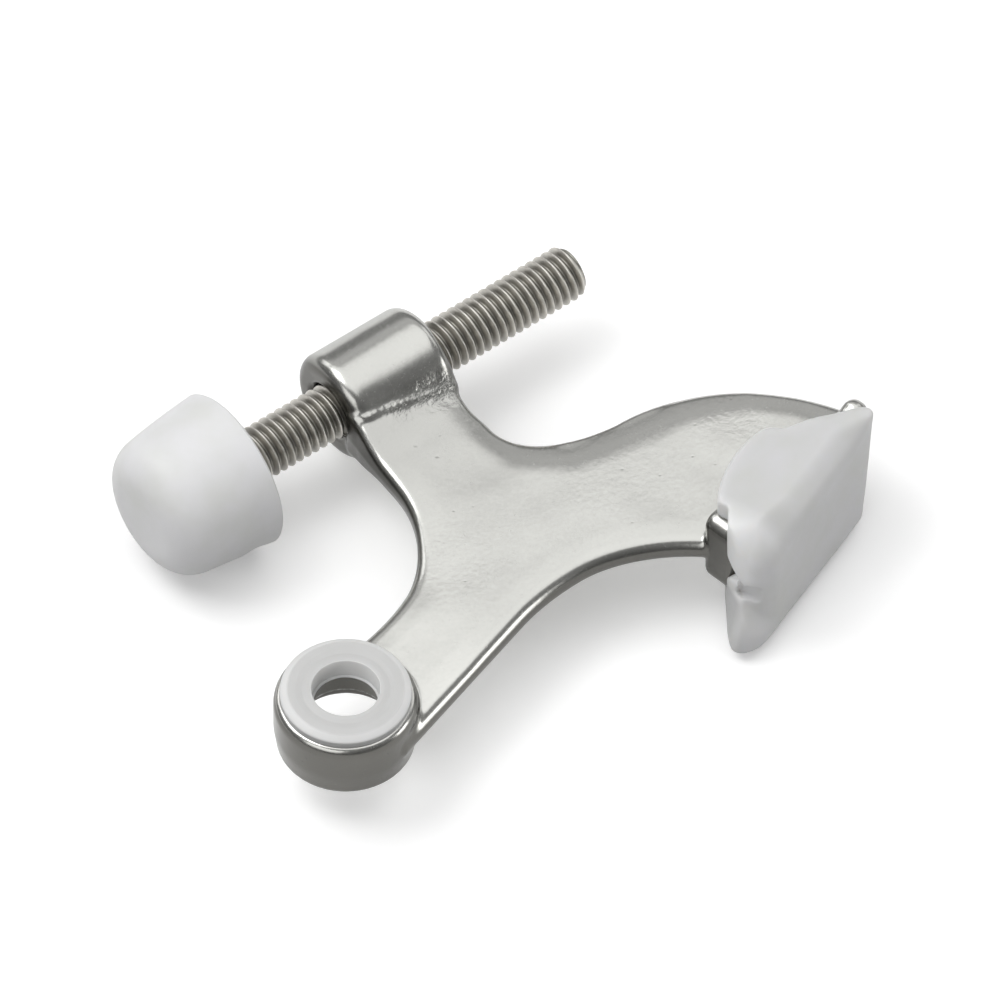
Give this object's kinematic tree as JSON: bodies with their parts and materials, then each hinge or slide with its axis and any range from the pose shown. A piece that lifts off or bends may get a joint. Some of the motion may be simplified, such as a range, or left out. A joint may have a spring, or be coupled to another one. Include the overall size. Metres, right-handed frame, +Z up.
{
  "type": "hinge pin door stop",
  "caption": "Y-shaped cast metal bracket with a bushed eye for a hinge pin, a threaded adjusting screw with a round rubber bumper, and a foot with a D-shaped rubber pad.",
  "frame": {"origin": "on the hinge pin's axis, at the eye's top face, where the bush's flange sits", "axes": "+Z up along the hinge pin, out through the bush's flange; +X along the adjusting screw, from the bumper to the screw's free end; +Y from the hinge pin towards the screw"},
  "size_m": [0.0719, 0.0551, 0.0174],
  "materials": {
    "satin_nickel": "satin nickel plate on a die-cast bracket",
    "bush_plastic": "natural white moulded plastic",
    "screw_steel": "rolled steel thread, dull nickel",
    "white_rubber": "smooth white rubber",
    "pad_rubber": "soft translucent white rubber"
  },
  "bodies": {
    "bracket_body": {"bracket": "satin_nickel", "hinge_bush": "bush_plastic", "foot_pad": "pad_rubber"},
    "bumper_body": {"bumper": "white_rubber"},
    "screw_body": {"adjusting_screw": "screw_steel"}
  },
  "joints": [
    {"name": "screw_travel", "type": "slide", "parent": "bracket_body", "child": "bumper_body", "axis": [1, 0, 0], "range_m": [-0.019, 0.011]},
    {"name": "screw_turn", "type": "hinge", "parent": "bumper_body", "child": "screw_body", "pos_m": [0.0282, 0.03265, -0.0035], "axis": [1, 0, 0], "range_deg": [-6840, 3960]}
  ],
  "couplings": [
    {"joint": "screw_turn", "follows": "screw_travel", "rad_per_m": 6283.2}
  ]
}
